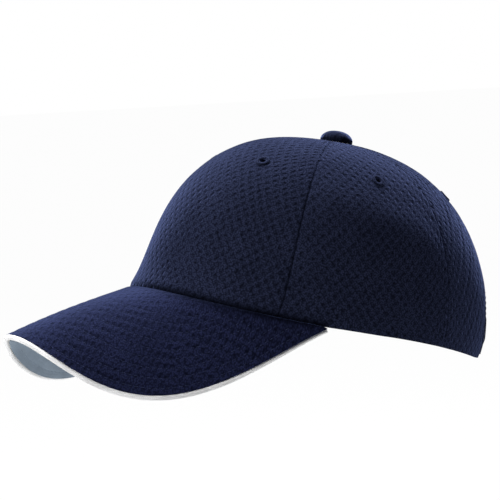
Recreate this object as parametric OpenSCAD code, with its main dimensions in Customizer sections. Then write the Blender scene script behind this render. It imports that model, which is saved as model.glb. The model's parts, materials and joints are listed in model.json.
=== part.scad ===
// Bump cap: a mesh cloth cap with a curved visor over a removable hard shell.
// Millimetres. The cap stands on its visor and its back edge, visor towards -Y,
// and every piece is first drawn in the rim's own frame: +X the wearer's left,
// +Y the back, +Z up from the middle of the head opening.

/* [Crown] */
// Half of the crown's width at the rim
crown_half_w = 82; // [76:0.5:90]
// From the rim's middle to the front of the crown, without the flare
crown_front = 98.6; // [90:0.2:108]
// From the rim's middle to the back of the crown
crown_back = 106.6; // [100:0.2:116]
// Height of the crown above the rim's middle
crown_h = 103.8; // [96:0.2:118]
// How far the top lies behind the rim's middle
apex_back = 1.9; // [0:0.1:6]
// How upright the sides stand before they turn in
crown_rise = 2.17; // [2:0.01:2.5]
// How full the front of the dome is
front_round = 2.81; // [2.3:0.01:3]
// How full the sides of the dome are
side_round = 2.32; // [2.1:0.01:2.8]
// How full the back of the dome is
back_round = 2.22; // [2.1:0.01:2.8]
// Rise of the rim at the front
rim_rise = 7.9; // [4:0.1:12]
// Drop of the rim at the back
rim_drop = 2.4; // [0:0.1:5]
// How far the front panel flares out where it meets the visor
flare = 14; // [8:0.5:18]
// Height over which the flare dies out
flare_h = 11.4; // [9:0.2:18]
// Thickness of the mesh cloth
cloth_t = 1.2; // [0.8:0.1:1.6]
// Seam angle from the front: front panel to side panel
front_seam = 57; // [52:1:64]
// Seam angle from the front: side panel to back panel
back_seam = 115; // [110:1:124]

/* [Rear opening] */
// Half of the opening's width at the rim
arch_half_w = 38; // [32:0.5:44]
// Height of the opening above the rim
arch_h = 50; // [44:0.5:58]
// Width of the binding tape round the opening
binding_w = 8; // [6:0.5:10]
// Thickness of the binding tape
binding_t = 0.6; // [0.4:0.1:0.8]

/* [Closure strap] */
// Height of the two strap ends
strap_h = 26; // [20:0.5:30]
// Thickness of the strap cloth
strap_t = 1.2; // [0.8:0.1:1.6]
// Thickness of the hook pad and of the loop pad
grip_t = 1; // [0.7:0.1:1.1]
// How far each strap end reaches past the middle of the back
strap_reach = 26; // [20:0.5:32]
// Length of strap that lies over the panel it is sewn to
strap_root = 14; // [10:0.5:18]
// How far the pads stay inside the edges of their strap ends
grip_margin = 4; // [3:0.5:6]

/* [Eyelets and button] */
// Height of the eyelets, as an angle up the dome
eyelet_angle = 52; // [46:0.1:58]
// Angle from the front of the front eyelets
eyelet_front = 30; // [26:0.5:34]
// Angle from the front of the side eyelets
eyelet_side = 89; // [84:0.5:94]
// Angle from the front of the rear eyelets
eyelet_rear = 149; // [144:0.5:154]
// Outer radius of a sewn eyelet
eyelet_r = 3.6; // [3:0.1:4.5]
// Radius of the hole in an eyelet
eyelet_hole_r = 1.6; // [1.2:0.1:2]
// How far an eyelet stands proud of the cloth
eyelet_proud = 0.9; // [0.6:0.1:1.2]
// Radius of the top button
button_r = 8.8; // [7:0.1:10]
// Height of the top button
button_h = 6.2; // [5:0.1:8]
// Radius of the button's shank
shank_r = 2; // [1.5:0.1:2.5]
// Radius of the washer that the shank is headed over
washer_r = 7; // [5.5:0.1:8.5]
// Thickness of the washer
washer_t = 0.8; // [0.6:0.1:1]

/* [Sweatband and tape] */
// Height of the sweatband
band_h = 32; // [28:0.5:36]
// Thickness of the sweatband
band_t = 2; // [1.4:0.1:2.4]
// Angle from the front at which the sweatband ends
band_end = 137; // [132:1:139]
// Width of the tape over each inside seam
tape_w = 13; // [10:0.5:15]
// Thickness of the seam tape
tape_t = 0.8; // [0.5:0.1:1]

/* [Visor] */
// Angle from the front at which the visor's corners meet the rim
visor_corner = 73; // [68:0.5:80]
// Reach of the visor in front of the crown
visor_reach = 64; // [56:0.5:74]
// Drop of the visor at its middle
visor_drop = 28; // [20:0.2:34]
// Extra drop of the visor half way along each side
visor_curl = 29.4; // [22:0.2:36]
// How far each side swells out past its corner
visor_swell = 5.6; // [2:0.2:10]
// How pointed the visor's outline is
visor_point = 1.51; // [1.3:0.01:1.7]
// How sharply the drop at the middle dies out
drop_shape = 1.15; // [1:0.01:1.4]
// How sharply the extra drop of the sides is bent
curl_shape = 2.33; // [2:0.01:2.6]
// Rise of the visor between its inner and outer edge
visor_camber = 2; // [0:0.1:4]
// Thickness of the cloth on top of the visor
top_cover_t = 1; // [0.8:0.1:1.4]
// Thickness of the visor's stiff board
board_t = 2; // [1.6:0.1:2.6]
// Thickness of the cloth under the visor
under_cover_t = 0.8; // [0.6:0.1:1.2]
// How far the white edging stands out
piping_w = 2.4; // [1.8:0.1:3.2]
// Thickness of the white edging
piping_t = 3.4; // [2.6:0.1:4]

/* [Hard shell and pads] */
// Thickness of the hard shell
shell_t = 2.2; // [1.8:0.1:2.8]
// Height of the shell's lower edge above the rim, front and sides
shell_low = 37; // [34:0.5:44]
// Extra height of the shell's lower edge at the back
shell_back_lift = 24; // [16:0.5:30]
// Radius of the hole in the top of the shell
shell_hole_r = 9; // [7:0.5:12]
// Width of a vent slot
vent_w = 6; // [4:0.5:8]
// Length of a vent slot
vent_l = 22; // [14:0.5:26]
// Height of the lower row of vents above the rim
vent_low = 64; // [60:0.5:66]
// Height of the upper row of vents above the rim
vent_high = 84; // [82:0.5:86]
// Thickness of the foam pads
pad_t = 5; // [3.5:0.5:6]
// Half of the angle that the front pad covers
front_pad_half = 34; // [28:1:36]
// Half of the angle that the rear pad covers
rear_pad_half = 30; // [24:1:32]
// Angle from the front to the middle of a side pad
side_pad_mid = 80; // [76:1:84]
// Half of the angle that a side pad covers
side_pad_half = 25; // [20:1:27]
// Radius of the crown pad
crown_pad_r = 40; // [34:1:44]
// Thickness of each hook and each loop patch that holds the shell
patch_t = 1; // [0.7:0.1:1.3]
// Width of each patch
patch_w = 34; // [24:1:40]
// Height of each patch
patch_h = 18; // [14:0.5:22]

/* [Fits] */
// Gap between pieces that lie on each other
lay_gap = 0.4; // [0.3:0.05:0.6]
// Gap between two edges that are sewn together
seam_gap = 0.3; // [0.2:0.05:0.5]
// Gap between stacked visor layers
ply_gap = 0.2; // [0.15:0.05:0.3]

/* [Hidden] */

navy = "#232d55";
dark_navy = "#161d38";
white = "#f2f2f4";
visor_grey = "#8d9aa6";
shell_black = "#2b2d31";
foam_grey = "#4a4d52";
steel = "#b8bcc2";

// Layers under the crown's outer face, as depths below it
inside = cloth_t + lay_gap;
hook_patch_depth = inside + patch_t + lay_gap;
shell_depth = hook_patch_depth + patch_t + lay_gap;
pad_depth = shell_depth + shell_t + lay_gap;
loop_strap_depth = inside + binding_t + lay_gap;
hook_strap_depth = -lay_gap - strap_t;
grip_gap = (loop_strap_depth - hook_strap_depth - strap_t - 2 * grip_t) / 3;

// Size of a facet, as an angle round the crown and up the dome
facet_round = 6;
facet_up = 7;

// The rim and the dome

function mix(a, b, k) = a + (b - a) * k;
function unit(v) = v / norm(v);
function in_front(phi) = cos(phi) > 0;
function rim_z(phi) = in_front(phi) ? rim_rise * pow(cos(phi), 2) : -rim_drop * pow(cos(phi), 4);
function reach_at(phi) = in_front(phi) ? crown_front : crown_back;
function round_at(phi) =
    mix(side_round, in_front(phi) ? front_round : back_round, pow(cos(phi), 2));
function rim_r(phi) = norm([crown_half_w * sin(phi), reach_at(phi) * cos(phi)]);

// A point of the crown's outer face: phi round from the front to the wearer's left, theta up the dome
function crown_face(phi, theta) =
    let (
        up = pow(sin(theta), 2 / crown_rise),
        in = pow(cos(theta), 2 / round_at(phi)),
        z = mix(rim_z(phi), crown_h, up),
        flare_here = in_front(phi) ? flare * pow(cos(phi), 2) * exp(-max(z, 0) / flare_h) : 0
    )
    [
        crown_half_w * in * sin(phi),
        apex_back * up - reach_at(phi) * in * cos(phi) - flare_here,
        z
    ];

// Outward direction there, from neighbouring points
function crown_out(phi, theta, step = 0.4) =
    unit(cross(
        crown_face(phi + step, theta) - crown_face(phi - step, theta),
        crown_face(phi, min(theta + step, 89.9)) - crown_face(phi, max(theta - step, 0))
    ));

function crown_pt(phi, theta, depth) = crown_face(phi, theta) - depth * crown_out(phi, theta);

// Angle up the dome at a height above the rim, and at a distance from the top
function theta_at(phi, h) = asin(pow(h / (crown_h - rim_z(phi)), crown_rise / 2));
function theta_near_top(phi, r) = acos(pow(r / rim_r(phi), round_at(phi) / 2));

// Angle round the crown that spans a length at this height
function span(phi, theta, len) =
    len / norm(crown_face(phi + 0.5, theta) - crown_face(phi - 0.5, theta));

// Faces of a curved sheet: the outer grid of points comes first, then the inner grid
function sheet_faces(nu, nv, ring) =
    let (
        cols = ring ? nu : nu + 1,
        half = cols * (nv + 1),
        o = function (i, j) (i % cols) * (nv + 1) + j,
        k = function (i, j) half + (i % cols) * (nv + 1) + j
    )
    concat(
        [for (i = [0:nu - 1]) for (j = [0:nv - 1]) each [
            [o(i, j), o(i, j + 1), o(i + 1, j + 1)], [o(i, j), o(i + 1, j + 1), o(i + 1, j)],
            [k(i, j), k(i + 1, j + 1), k(i, j + 1)], [k(i, j), k(i + 1, j), k(i + 1, j + 1)]
        ]],
        [for (i = [0:nu - 1]) each [
            [o(i, 0), o(i + 1, 0), k(i + 1, 0)], [o(i, 0), k(i + 1, 0), k(i, 0)],
            [o(i + 1, nv), o(i, nv), k(i, nv)], [o(i + 1, nv), k(i, nv), k(i + 1, nv)]
        ]],
        ring ? [] : [for (j = [0:nv - 1]) each [
            [o(0, j + 1), o(0, j), k(0, j)], [o(0, j + 1), k(0, j), k(0, j + 1)],
            [o(nu, j), o(nu, j + 1), k(nu, j + 1)], [o(nu, j), k(nu, j + 1), k(nu, j)]
        ]]
    );

// A sheet that lies on the crown between two depths; place(u, v) gives its angles
module crown_sheet(place, depth, thick, nu, nv, ring = false) {
    grid = [for (i = [0:ring ? nu - 1 : nu]) for (j = [0:nv]) place(i / nu, j / nv)];
    polyhedron(
        points = concat(
            [for (g = grid) crown_pt(g[0], g[1], depth)],
            [for (g = grid) crown_pt(g[0], g[1], depth + thick)]
        ),
        faces = sheet_faces(nu, nv, ring),
        convexity = 8
    );
}

// A patch centred on an angle and a height, of a given width and height
module crown_patch(phi, h, w, tall, depth, thick) {
    half = span(phi, theta_at(phi, h), w) / 2;
    crown_sheet(
        function (u, v) [
            phi + half * (2 * u - 1),
            theta_at(phi + half * (2 * u - 1), h + tall * (v - 0.5))
        ],
        depth, thick, ceil(2 * half / facet_round), 3
    );
}

// Moves a piece drawn on +Z to a point of the crown, with +Z out of the cloth
module on_crown(phi, theta, depth = 0) {
    out = crown_out(phi, theta);
    translate(crown_pt(phi, theta, depth))
        rotate([0, acos(out[2]), atan2(out[1], out[0])])
            children();
}

// How the cap stands

// Angle of a point round the visor's outline to the same share of the rim
function visor_phi(alpha) = visor_corner * alpha / 90;

// Inner and outer edge of the visor's top face; alpha runs from corner to corner
function visor_inner(alpha) =
    crown_face(visor_phi(alpha), 0) - [0, 0, lay_gap];
function visor_outer(alpha) =
    let (
        corner = crown_face(visor_corner, 0),
        front = crown_front + flare + visor_reach + corner[1],
        drop = visor_drop * pow(cos(alpha), drop_shape) + visor_curl * pow(abs(sin(2 * alpha)), curl_shape)
    )
    [
        corner[0] * sin(alpha) + visor_swell * sin(2 * alpha),
        corner[1] - front * pow(cos(alpha), visor_point),
        corner[2] * abs(sin(alpha)) - drop
    ];
function visor_face(alpha, r) =
    mix(visor_inner(alpha), visor_outer(alpha), r)
    + [0, 0, visor_camber * cos(alpha) * 4 * r * (1 - r)];
function visor_along(alpha) = visor_face(alpha + 0.4, 1) - visor_face(alpha - 0.4, 1);
function visor_up(alpha, r) =
    unit(cross(
        visor_face(alpha, r + 0.01) - visor_face(alpha, r - 0.01),
        visor_face(alpha + 0.4, r) - visor_face(alpha - 0.4, r)
    ));
function visor_pt(alpha, r, depth) = visor_face(alpha, r) - depth * visor_up(alpha, r);

visor_end = 87;
visor_steps = 30;
visor_stack = top_cover_t + board_t + under_cover_t + 2 * ply_gap;

// Outline of the white edging: a band with a round outer side, beyond the covers' edge,
// that thins out over the last stretch before each corner
piping_thin = 20;
function piping_size(alpha) = min(1, 0.4 + 0.6 * (90 - abs(alpha)) / piping_thin);
piping_round = 6;
piping_shape = concat(
    [[0, piping_t / 2]],
    [for (k = [0:piping_round])
        let (a = 90 - 180 * k / piping_round)
        [piping_w - piping_t / 2 + piping_t / 2 * cos(a), piping_t / 2 * sin(a)]],
    [[0, -piping_t / 2]]
);
function piping_ring(alpha) =
    let (
        up = visor_up(alpha, 0.98),
        along = unit(visor_along(alpha)),
        out = unit(cross(along, up)),
        sign = out * (visor_outer(alpha) - visor_inner(alpha)) > 0 ? 1 : -1,
        middle = visor_pt(alpha, 0.999, visor_stack / 2) + ply_gap * sign * out
    )
    [for (p = piping_shape * piping_size(alpha)) middle + sign * p[0] * out + p[1] * up];

// The cap rocks back until its visor and its back edge both touch the ground
front_feet = [for (a = [0:3:84]) each piping_ring(a)];
back_feet = [for (phi = [130:5:180]) crown_pt(phi, 0, loop_strap_depth)];
function tilted(p, t) = [p[0], p[1] * cos(t) + p[2] * sin(t), p[2] * cos(t) - p[1] * sin(t)];
function lowest(points, t) = min([for (p = points) tilted(p, t)[2]]);
function stand_tilt(low, high, n) =
    let (t = (low + high) / 2)
    n == 0 ? t
    : lowest(front_feet, t) < lowest(back_feet, t) ? stand_tilt(t, high, n - 1)
    : stand_tilt(low, t, n - 1);
tilt = stand_tilt(0, 30, 24);
lift = -lowest(back_feet, tilt);
back_most = max([for (phi = [150:5:180]) for (h = [0:4:28])
    tilted(crown_pt(phi, theta_at(phi, h), hook_strap_depth), tilt)[1]]);
front_most = min([for (p = front_feet) tilted(p, tilt)[1]]);
shift_y = -(back_most + front_most) / 2;
function standing(p) = tilted(p, tilt) + [0, shift_y, lift];

module stand() {
    translate([0, shift_y, lift]) rotate([-tilt, 0, 0]) children();
}

// Cloth crown

// Where a column of a panel starts: on the rim, or on the edge of the rear opening
arch_phi = asin(arch_half_w / crown_half_w);
function arch_edge(s, grow = 0) =
    let (wide = asin((arch_half_w + grow) / crown_half_w))
    [180 - wide * cos(s), (arch_h + grow) * sin(s)];
rear_rim_share = 0.5;
function rear_column(u) =
    u < rear_rim_share
        ? [mix(back_seam, 180 - arch_phi, u / rear_rim_share), 0]
        : arch_edge(90 * (u - rear_rim_share) / (1 - rear_rim_share));

top_hole_r = shank_r + lay_gap;
up_steps = ceil(90 / facet_up);

// Pulls the sides of a panel in by half a seam gap
function off_seam(phi, u, theta) =
    phi + (u == 0 ? 1 : u == 1 ? -1 : 0) * span(phi, theta, seam_gap / 2);

function panel_place(u, v, phi, h) =
    let (theta = mix(theta_at(phi, h), theta_near_top(phi, top_hole_r), v))
    [off_seam(phi, u, theta), theta];

module eyelet_hole(phi) {
    on_crown(phi, eyelet_angle)
        cylinder(r = (eyelet_r + eyelet_hole_r) / 2 + lay_gap / 2, h = 8, center = true, $fn = 32);
}

module plain_panel(from, to, eyelets) {
    color(navy) stand() difference() {
        crown_sheet(
            function (u, v) panel_place(u, v, mix(from, to, u), 0),
            0, cloth_t, ceil((to - from) / facet_round), up_steps
        );
        for (phi = eyelets) eyelet_hole(phi);
    }
}

module front_panel() { plain_panel(-front_seam, front_seam, [-eyelet_front, eyelet_front]); }
module side_panel_left() { plain_panel(front_seam, back_seam, [eyelet_side]); }
module side_panel_right() { plain_panel(-back_seam, -front_seam, [-eyelet_side]); }
module rear_panel_left() {
    color(navy) stand() difference() {
        crown_sheet(
            function (u, v) let (c = rear_column(u)) panel_place(u, v, c[0], c[1]),
            0, cloth_t, 12, up_steps
        );
        eyelet_hole(eyelet_rear);
    }
}

module rear_panel_right() { mirror([1, 0, 0]) rear_panel_left(); }

// A sewn eyelet clasps the edge of its hole from both sides
module eyelet(phi) {
    waist = (eyelet_r + eyelet_hole_r) / 2;
    top = lay_gap / 2;
    under = -cloth_t - lay_gap;
    color(dark_navy) stand() on_crown(phi, eyelet_angle)
        rotate_extrude($fn = 32) polygon([
            [eyelet_hole_r, under - eyelet_proud * 0.4], [eyelet_hole_r + 0.4, under - eyelet_proud * 0.6],
            [eyelet_r - 0.4, under - eyelet_proud * 0.6], [eyelet_r, under],
            [waist, under], [waist, top],
            [eyelet_r, top], [eyelet_r - 0.4, top + eyelet_proud - 0.2],
            [mix(eyelet_r, eyelet_hole_r, 0.5), top + eyelet_proud],
            [eyelet_hole_r + 0.3, top + eyelet_proud - 0.2], [eyelet_hole_r, top]
        ]);
}

module eyelet_front_left() { eyelet(eyelet_front); }
module eyelet_front_right() { eyelet(-eyelet_front); }
module eyelet_side_left() { eyelet(eyelet_side); }
module eyelet_side_right() { eyelet(-eyelet_side); }
module eyelet_rear_left() { eyelet(eyelet_rear); }
module eyelet_rear_right() { eyelet(-eyelet_rear); }

// Tape over the inside of a seam, from above the sweatband to the button's washer
module seam_tape(phi, from_h) {
    color(dark_navy) stand() crown_sheet(
        function (u, v)
            let (theta = mix(theta_at(phi, from_h), theta_near_top(phi, tape_w + 1), v))
            [phi + span(phi, theta, tape_w) * (u - 0.5), theta],
        inside, tape_t, 2, up_steps
    );
}
tape_from = band_h + 3;
module seam_tape_front_left() { seam_tape(front_seam, tape_from); }
module seam_tape_front_right() { seam_tape(-front_seam, tape_from); }
module seam_tape_rear_left() { seam_tape(back_seam, tape_from); }
module seam_tape_rear_right() { seam_tape(-back_seam, tape_from); }
module seam_tape_back() { seam_tape(180, arch_h + binding_w + 2); }

// Top button

module at_top() {
    stand() translate([0, apex_back, crown_h]) children();
}

button_skirt = 1;
module button_cover() {
    wall = 0.9;
    dome = function (r, h, k) [r * cos(k), button_skirt + lay_gap + (h - button_skirt) * sin(k)];
    color(navy) at_top() rotate_extrude($fn = 48) polygon(concat(
        [[button_r - 0.6, lay_gap], [button_r, button_skirt + lay_gap]],
        [for (k = [10:10:90]) dome(button_r, button_h, k)],
        [for (k = [90:-10:0]) dome(button_r - wall, button_h - wall, k)],
        [[button_r - wall, lay_gap]]
    ));
}

// The rivet's head fills the button, and its shank goes through the cloth
rivet_head_h = 2;
module button_rivet() {
    head_r = button_r - 0.9 - lay_gap;
    color(steel) at_top() {
        translate([0, 0, lay_gap]) cylinder(r = head_r, h = rivet_head_h, $fn = 48);
        translate([0, 0, -inside - washer_t - lay_gap])
            cylinder(r = shank_r, h = inside + washer_t + 2 * lay_gap + 0.1, $fn = 32);
    }
}

washer_fit = 0.05;
module button_washer() {
    color(steel) at_top() translate([0, 0, -inside - washer_t]) difference() {
        cylinder(r = washer_r, h = washer_t, $fn = 48);
        translate([0, 0, -1]) cylinder(r = shank_r + washer_fit, h = washer_t + 2, $fn = 32);
    }
}

// Sweatband, binding and closure

module sweatband() {
    color(dark_navy) stand() crown_sheet(
        function (u, v)
            let (phi = mix(-band_end, band_end, u))
            [phi, theta_at(phi, 1 + band_h * v)],
        inside, band_t, ceil(2 * band_end / facet_round), 3
    );
}

module arch_binding() {
    color(dark_navy) stand() crown_sheet(
        function (u, v)
            let (e = arch_edge(4 + 172 * u, v * binding_w))
            [e[0], theta_at(e[0], e[1])],
        inside, binding_t, 24, 1
    );
}

// A strap end that follows the back of the crown, with a rounded free end
strap_foot = 0.5;
strap_steps = 14;
function strap_half(k) = strap_h / 2 * (k < 0.8 ? 1 : sqrt(1 - 0.75 * pow((k - 0.8) / 0.2, 2)));
function strap_place(u, v, root, tip, foot, shrink = 0) =
    let (
        phi = mix(root, tip, u),
        half = strap_half(u) - shrink - foot
    )
    [phi, theta_at(phi, strap_foot + foot + strap_h / 2 + half * (2 * v - 1))];

strap_tip = span(180, theta_at(180, strap_h / 2), strap_reach);
strap_hidden = span(180 - arch_phi, theta_at(180 - arch_phi, strap_h / 2), strap_root);
loop_root_phi = 180 - arch_phi - strap_hidden;
loop_tip_phi = 180 + strap_tip;
hook_root_phi = 180 + arch_phi + strap_hidden;
hook_tip_phi = 180 - strap_tip;
hook_foot = 1;

module loop_strap() {
    color(navy) stand() crown_sheet(
        function (u, v) strap_place(u, v, loop_root_phi, loop_tip_phi, 0),
        loop_strap_depth, strap_t, strap_steps, 3
    );
}

module hook_strap() {
    color(navy) stand() mirror([1, 0, 0]) crown_sheet(
        function (u, v) strap_place(u, v, 360 - hook_root_phi, 360 - hook_tip_phi, hook_foot),
        hook_strap_depth, strap_t, strap_steps, 3
    );
}

// Pads where the strap ends overlap
grip_phi = strap_tip - span(180, theta_at(180, strap_h / 2), grip_margin);
module grip(depth) {
    color(dark_navy) stand() crown_sheet(
        function (u, v)
            let (phi = 180 + grip_phi * (2 * u - 1))
            [phi, theta_at(phi, strap_foot + hook_foot + mix(grip_margin, strap_h - grip_margin, v))],
        depth, grip_t, 6, 3
    );
}

module loop_pad() { grip(loop_strap_depth - grip_gap - grip_t); }
module hook_pad() { grip(hook_strap_depth + strap_t + grip_gap); }

// The line that the hook strap is sewn on, about which it peels open
hook_axis_low = crown_pt(hook_root_phi, theta_at(hook_root_phi, strap_foot), hook_strap_depth + strap_t / 2);
hook_axis_high = crown_pt(
    hook_root_phi, theta_at(hook_root_phi, strap_foot + strap_h), hook_strap_depth + strap_t / 2);

// Visor

module visor_sheet(depth, thick, nv, from_r = 0, to_r = 1) {
    grid = [for (i = [0:visor_steps]) for (j = [0:nv])
        [mix(-visor_end, visor_end, i / visor_steps), mix(from_r, to_r, j / nv)]];
    polyhedron(
        points = concat(
            [for (g = grid) visor_pt(g[0], g[1], depth + thick)],
            [for (g = grid) visor_pt(g[0], g[1], depth)]
        ),
        faces = sheet_faces(visor_steps, nv, false),
        convexity = 8
    );
}

module visor_top_cover() { color(navy) stand() visor_sheet(0, top_cover_t, 6); }
module visor_board() { color(white) stand() visor_sheet(top_cover_t + ply_gap, board_t, 4); }
module visor_under_cover() {
    color(visor_grey) stand() visor_sheet(top_cover_t + board_t + 2 * ply_gap, under_cover_t, 6);
}

module visor_piping() {
    n = len(piping_shape);
    rings = [for (i = [0:visor_steps]) piping_ring(mix(-visor_end, visor_end, i / visor_steps))];
    color(white) stand() polyhedron(
        points = [for (r = rings) each r],
        faces = concat(
            [for (i = [0:visor_steps - 1]) for (k = [0:n - 1])
                let (a = i * n + k, b = i * n + (k + 1) % n)
                each [[a, a + n, b], [b, a + n, b + n]]],
            [for (k = [1:n - 2]) [0, k, k + 1]],
            [for (k = [1:n - 2]) let (e = visor_steps * n) [e, e + k + 1, e + k]]
        ),
        convexity = 6
    );
}

// Removable insert

function shell_edge(phi) = shell_low + (in_front(phi) ? 0 : shell_back_lift * pow(cos(phi), 2));

vent_h = [vent_low, vent_high];
vent_phi = [[-75, -45, -15, 15, 45, 75, 105, 255], [0, 60, 120, 180, 240, 300]];

// A round-ended slot through the shell, long side up the dome
module vent(phi, h) {
    on_crown(phi, theta_at(phi, h), shell_depth + shell_t / 2) hull()
        for (side = [-1, 1])
            translate([side * (vent_l - vent_w) / 2, 0, 0])
                cylinder(r = vent_w / 2, h = 4 * shell_t, center = true, $fn = 16);
}

module hard_shell() {
    color(shell_black) stand() difference() {
        crown_sheet(
            function (u, v)
                let (phi = 360 * u)
                [phi, mix(theta_at(phi, shell_edge(phi)), theta_near_top(phi, shell_hole_r), v)],
            shell_depth, shell_t, 45, 9, ring = true
        );
        for (row = [0, 1]) for (phi = vent_phi[row]) vent(phi, vent_h[row]);
    }
}

// Foam pads inside the shell: side by side round the head, and a ring at the top
module foam(from, to, low, high) {
    color(foam_grey) stand() crown_sheet(
        function (u, v)
            let (phi = mix(from, to, u))
            [phi, theta_at(phi, mix(low, high, v))],
        pad_depth, pad_t, ceil((to - from) / 8), 4
    );
}

pad_edge = 4;
pad_low = shell_low + pad_edge;
pad_high = vent_h[0] - vent_l / 2 - 1;
module front_pad() { foam(-front_pad_half, front_pad_half, pad_low, pad_high); }
module side_pad(mid) { foam(mid - side_pad_half, mid + side_pad_half, pad_low, pad_high); }
module side_pad_left() { side_pad(side_pad_mid); }
module side_pad_right() { side_pad(-side_pad_mid); }
module rear_pad() {
    foam(180 - rear_pad_half, 180 + rear_pad_half, pad_low + shell_back_lift, pad_high + shell_back_lift);
}
module crown_pad() {
    color(foam_grey) stand() crown_sheet(
        function (u, v)
            let (phi = 360 * u)
            [phi, theta_near_top(phi, mix(crown_pad_r, shell_hole_r + pad_edge, v))],
        pad_depth, pad_t, 30, 4, ring = true
    );
}

// Hook patches on the shell face loop patches in the crown
patch_mid = shell_low + pad_edge + patch_h / 2;
module grip_patch(phi, depth) {
    color(dark_navy) stand() crown_patch(phi, patch_mid, patch_w, patch_h, depth, patch_t);
}
module loop_patch_front() { grip_patch(0, inside); }
module loop_patch_left() { grip_patch(90, inside); }
module loop_patch_right() { grip_patch(-90, inside); }
module hook_patch_front() { grip_patch(0, hook_patch_depth); }
module hook_patch_left() { grip_patch(90, hook_patch_depth); }
module hook_patch_right() { grip_patch(-90, hook_patch_depth); }

front_panel();
side_panel_left();
side_panel_right();
rear_panel_left();
rear_panel_right();
eyelet_front_left();
eyelet_front_right();
eyelet_side_left();
eyelet_side_right();
eyelet_rear_left();
eyelet_rear_right();
seam_tape_front_left();
seam_tape_front_right();
seam_tape_rear_left();
seam_tape_rear_right();
seam_tape_back();
button_cover();
button_rivet();
button_washer();
sweatband();
arch_binding();
loop_strap();
loop_pad();
hook_strap();
hook_pad();
visor_top_cover();
visor_board();
visor_under_cover();
visor_piping();
loop_patch_front();
loop_patch_left();
loop_patch_right();
hard_shell();
front_pad();
crown_pad();
rear_pad();
side_pad_left();
side_pad_right();
hook_patch_front();
hook_patch_left();
hook_patch_right();
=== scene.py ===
import bpy, bmesh, json, math
from mathutils import Matrix, Vector, noise


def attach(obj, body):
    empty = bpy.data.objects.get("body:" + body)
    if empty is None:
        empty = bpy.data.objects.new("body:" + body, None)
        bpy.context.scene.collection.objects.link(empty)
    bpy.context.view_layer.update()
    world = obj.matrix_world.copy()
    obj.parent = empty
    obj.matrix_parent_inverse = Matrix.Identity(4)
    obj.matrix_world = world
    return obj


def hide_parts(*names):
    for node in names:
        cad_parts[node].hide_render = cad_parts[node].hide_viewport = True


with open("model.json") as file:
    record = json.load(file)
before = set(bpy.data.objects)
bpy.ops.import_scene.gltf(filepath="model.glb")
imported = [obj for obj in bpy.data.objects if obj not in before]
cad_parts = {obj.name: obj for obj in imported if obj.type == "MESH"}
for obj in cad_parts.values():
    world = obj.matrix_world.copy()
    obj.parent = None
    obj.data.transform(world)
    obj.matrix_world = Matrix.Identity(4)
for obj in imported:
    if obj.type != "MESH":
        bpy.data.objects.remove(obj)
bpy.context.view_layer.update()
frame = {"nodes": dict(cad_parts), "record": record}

scene = bpy.context.scene
scene.view_settings.view_transform = "Standard"

# The rim's own frame: x to the wearer's left, y to the back, z up out of the head opening
headMount = frame["record"]["mounts"][0]
capUp = -Vector(headMount["axis"])
capTilt = -math.atan2(capUp.y, capUp.z)
standMatrix = Matrix.Translation(headMount["pos_m"]) @ Matrix.Rotation(capTilt, 4, "X")

shot = dict(lens=194.98, place=dict(aim=(0.00071, 0.00161, 0.06955), azimuth=62.06, elevation=4.51,
                                    distance=1.5, roll=-2.544))


def lookFrom(aim, azimuth, elevation, distance, roll=0):  # stands away from the aim and faces it
    turn = (Matrix.Rotation(math.radians(azimuth), 4, "Z")
            @ Matrix.Rotation(math.radians(90 - elevation), 4, "X")
            @ Matrix.Rotation(math.radians(roll), 4, "Z"))
    return Matrix.Translation(aim) @ turn @ Matrix.Translation((0, 0, distance))


def addObject(name, data):
    made = bpy.data.objects.new(name, data)
    scene.collection.objects.link(made)
    return made


print("camera")
camData = bpy.data.cameras.new("camera")
camData.lens = shot["lens"]
scene.camera = addObject("camera", camData)
scene.camera.matrix_world = lookFrom(**shot["place"])

# The crown's shape, in metres and degrees, the same driving sizes as the CAD part
crown = dict(halfWidth=0.082, front=0.0986, back=0.1066, height=0.1038, apexBack=0.0019, rise=2.17,
             frontRound=2.81, sideRound=2.32, backRound=2.22, rimRise=0.0079, rimDrop=0.0024, flare=0.014,
             flareHeight=0.0114, cloth=0.0012, frontSeam=57, backSeam=115, topHole=0.0024)
arch = dict(halfWidth=0.038, height=0.05, around=0.042, bindingWidth=0.008)  # the rear opening
layGap = 0.0004  # air between two layers
insideDepth = crown["cloth"] + layGap  # first layer under the cloth
frontSeam, backSeam = crown["frontSeam"], crown["backSeam"]


def mix(a, b, k):
    return a + (b - a) * k


def smooth(k):
    k = min(max(k, 0), 1)
    return k * k * (3 - 2 * k)


def bell(x, wide):  # 1 at zero, fading out over a width
    return math.exp(-(x / wide) ** 2)


def wave(x, pitch, shift):
    return math.sin(2 * math.pi * x / pitch + shift)


def sind(angle):
    return math.sin(math.radians(angle))


def cosd(angle):
    return math.cos(math.radians(angle))


def rimHeight(phi):
    return crown["rimRise"] * cosd(phi) ** 2 if cosd(phi) > 0 else -crown["rimDrop"] * cosd(phi) ** 4


def fullness(phi):
    return mix(crown["sideRound"], crown["frontRound" if cosd(phi) > 0 else "backRound"], cosd(phi) ** 2)


def crownFace(phi, theta):  # phi round from the front, theta up the dome
    c = cosd(phi)
    up = sind(theta) ** (2 / crown["rise"])
    inward = cosd(theta) ** (2 / fullness(phi))
    z = mix(rimHeight(phi), crown["height"], up)
    y = crown["apexBack"] * up - crown["front" if c > 0 else "back"] * inward * c
    if c > 0:
        y -= crown["flare"] * c * c * math.exp(-max(z, 0) / crown["flareHeight"])
    return Vector((crown["halfWidth"] * inward * sind(phi), y, z))


def crownOut(phi, theta, step=0.4):
    around = crownFace(phi + step, theta) - crownFace(phi - step, theta)
    upward = crownFace(phi, min(theta + step, 89.9)) - crownFace(phi, max(theta - step, 0))
    return around.cross(upward).normalized()


def crownAt(phi, theta, depth=0):
    return crownFace(phi, theta) - depth * crownOut(phi, theta)


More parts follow.
